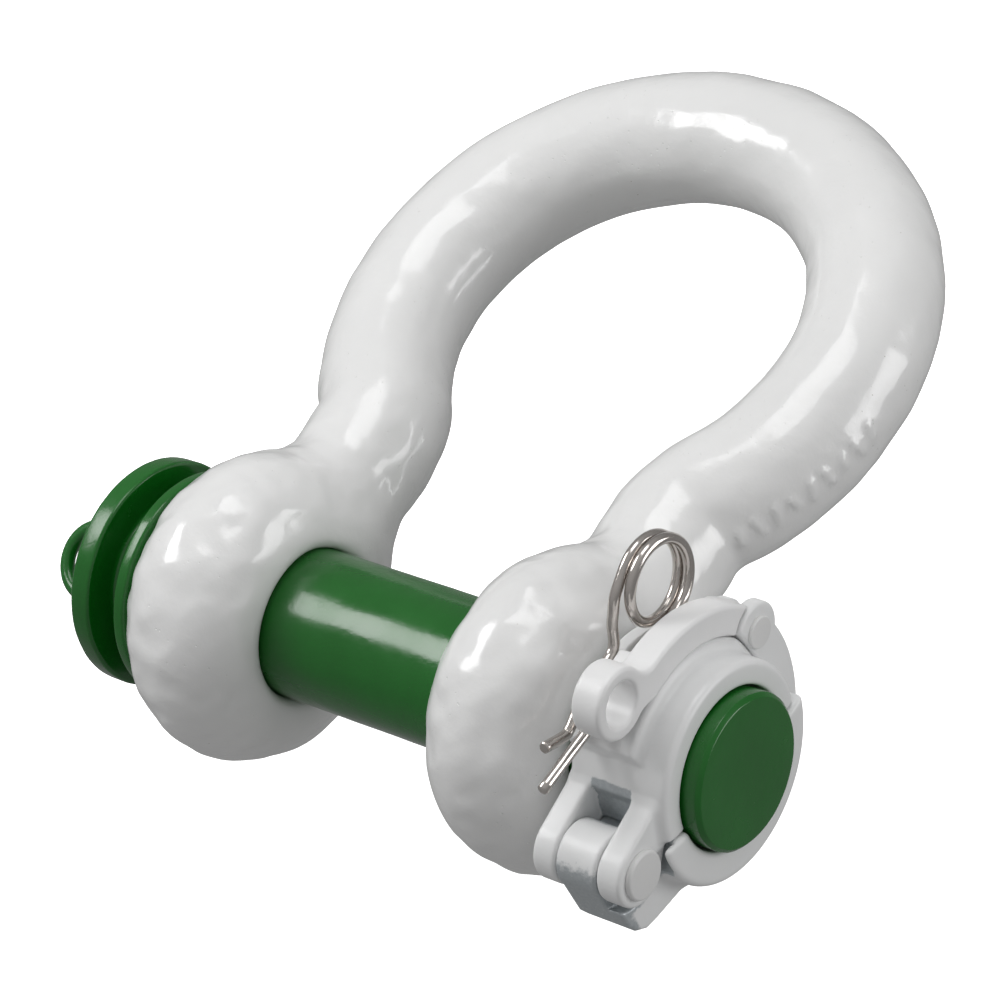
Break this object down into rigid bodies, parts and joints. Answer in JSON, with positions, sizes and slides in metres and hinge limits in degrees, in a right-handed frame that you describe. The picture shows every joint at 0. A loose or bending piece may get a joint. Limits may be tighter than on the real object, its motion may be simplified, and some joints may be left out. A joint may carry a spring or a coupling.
{
  "type": "bow shackle",
  "caption": "Forged bow shackle with a spool-headed pin kept in place by a hinged clamp with a latch lever and spring cotter.",
  "frame": {"origin": "middle of the jaw on the pin's axis", "axes": "+X along the pin towards the clamp, +Y towards the crown, +Z out of the bow's plane"},
  "size_m": [0.2372, 0.2518, 0.0958],
  "materials": {
    "bow_paint": "gloss white paint over a forged skin",
    "pin_paint": "gloss green paint",
    "clamp_coat": "satin white powder coat with bare zinc in the hinge",
    "lever_coat": "satin white powder coat",
    "fastener_coat": "satin white coat, slightly greyer",
    "wire": "polished stainless wire"
  },
  "bodies": {
    "bow_body": {"bow": "bow_paint"},
    "pin_body": {"pin": "pin_paint", "lanyard_eye": "pin_paint", "lanyard_welds": "pin_paint"},
    "clamp_body": {"clamp_upper": "clamp_coat", "hinge_pin": "fastener_coat"},
    "lower_half": {"clamp_lower": "clamp_coat", "lever_pivot": "fastener_coat"},
    "lever_body": {"lever": "lever_coat"},
    "cotter_body": {"spring_cotter": "wire"}
  },
  "joints": [
    {"name": "pin_turn", "type": "hinge", "parent": "bow_body", "child": "pin_body", "pos_m": [0, 0, 0], "axis": [1, 0, 0], "continuous": true},
    {"name": "clamp_turn", "type": "hinge", "parent": "bow_body", "child": "clamp_body", "pos_m": [0.0865, 0, 0], "axis": [1, 0, 0], "range_deg": [0, 20]},
    {"name": "clamp_open", "type": "hinge", "parent": "clamp_body", "child": "lower_half", "pos_m": [0.0904, -0.0377, 0.0052], "axis": [-1, 0, 0], "range_deg": [0, 44]},
    {"name": "lever_swing", "type": "hinge", "parent": "lower_half", "child": "lever_body", "pos_m": [0.0917, 0.0333, 0.0108], "axis": [-1, 0, 0], "range_deg": [0, 110]},
    {"name": "cotter_pull", "type": "slide", "parent": "clamp_body", "child": "cotter_body", "axis": [0, 0.9953, -0.0966], "range_m": [0, 0.06], "deforming": ["spring_cotter"]}
  ],
  "couplings": [
    {"joint": "clamp_open", "follows": "lever_swing", "ratio": 0.4}
  ]
}
